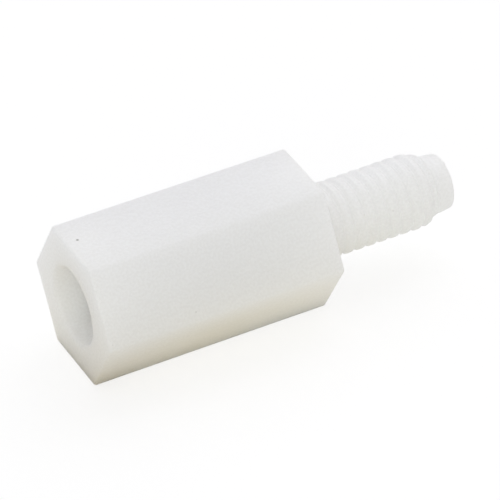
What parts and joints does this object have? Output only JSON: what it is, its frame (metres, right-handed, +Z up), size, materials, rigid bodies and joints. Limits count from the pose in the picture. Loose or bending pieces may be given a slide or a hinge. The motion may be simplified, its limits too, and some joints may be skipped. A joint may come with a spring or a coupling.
{
  "type": "hex standoff",
  "caption": "Male to female hex standoff moulded in one piece from translucent nylon: a hexagonal body with a blind threaded bore, and a threaded stud with a plain point.",
  "frame": {"origin": "on the surface that the part lies on, under the middle of its whole length and under its axis", "axes": "+X along the part's axis from the open end to the tip of the stud, +Z up through the top flat of the hexagon, and +Y to the left looking along +X"},
  "size_m": [0.016, 0.0064, 0.0055],
  "materials": {
    "natural_nylon": "moulded natural nylon, milky and slightly translucent, with a soft satin surface"
  },
  "bodies": {
    "root": {"standoff": "natural_nylon"}
  },
  "joints": []
}
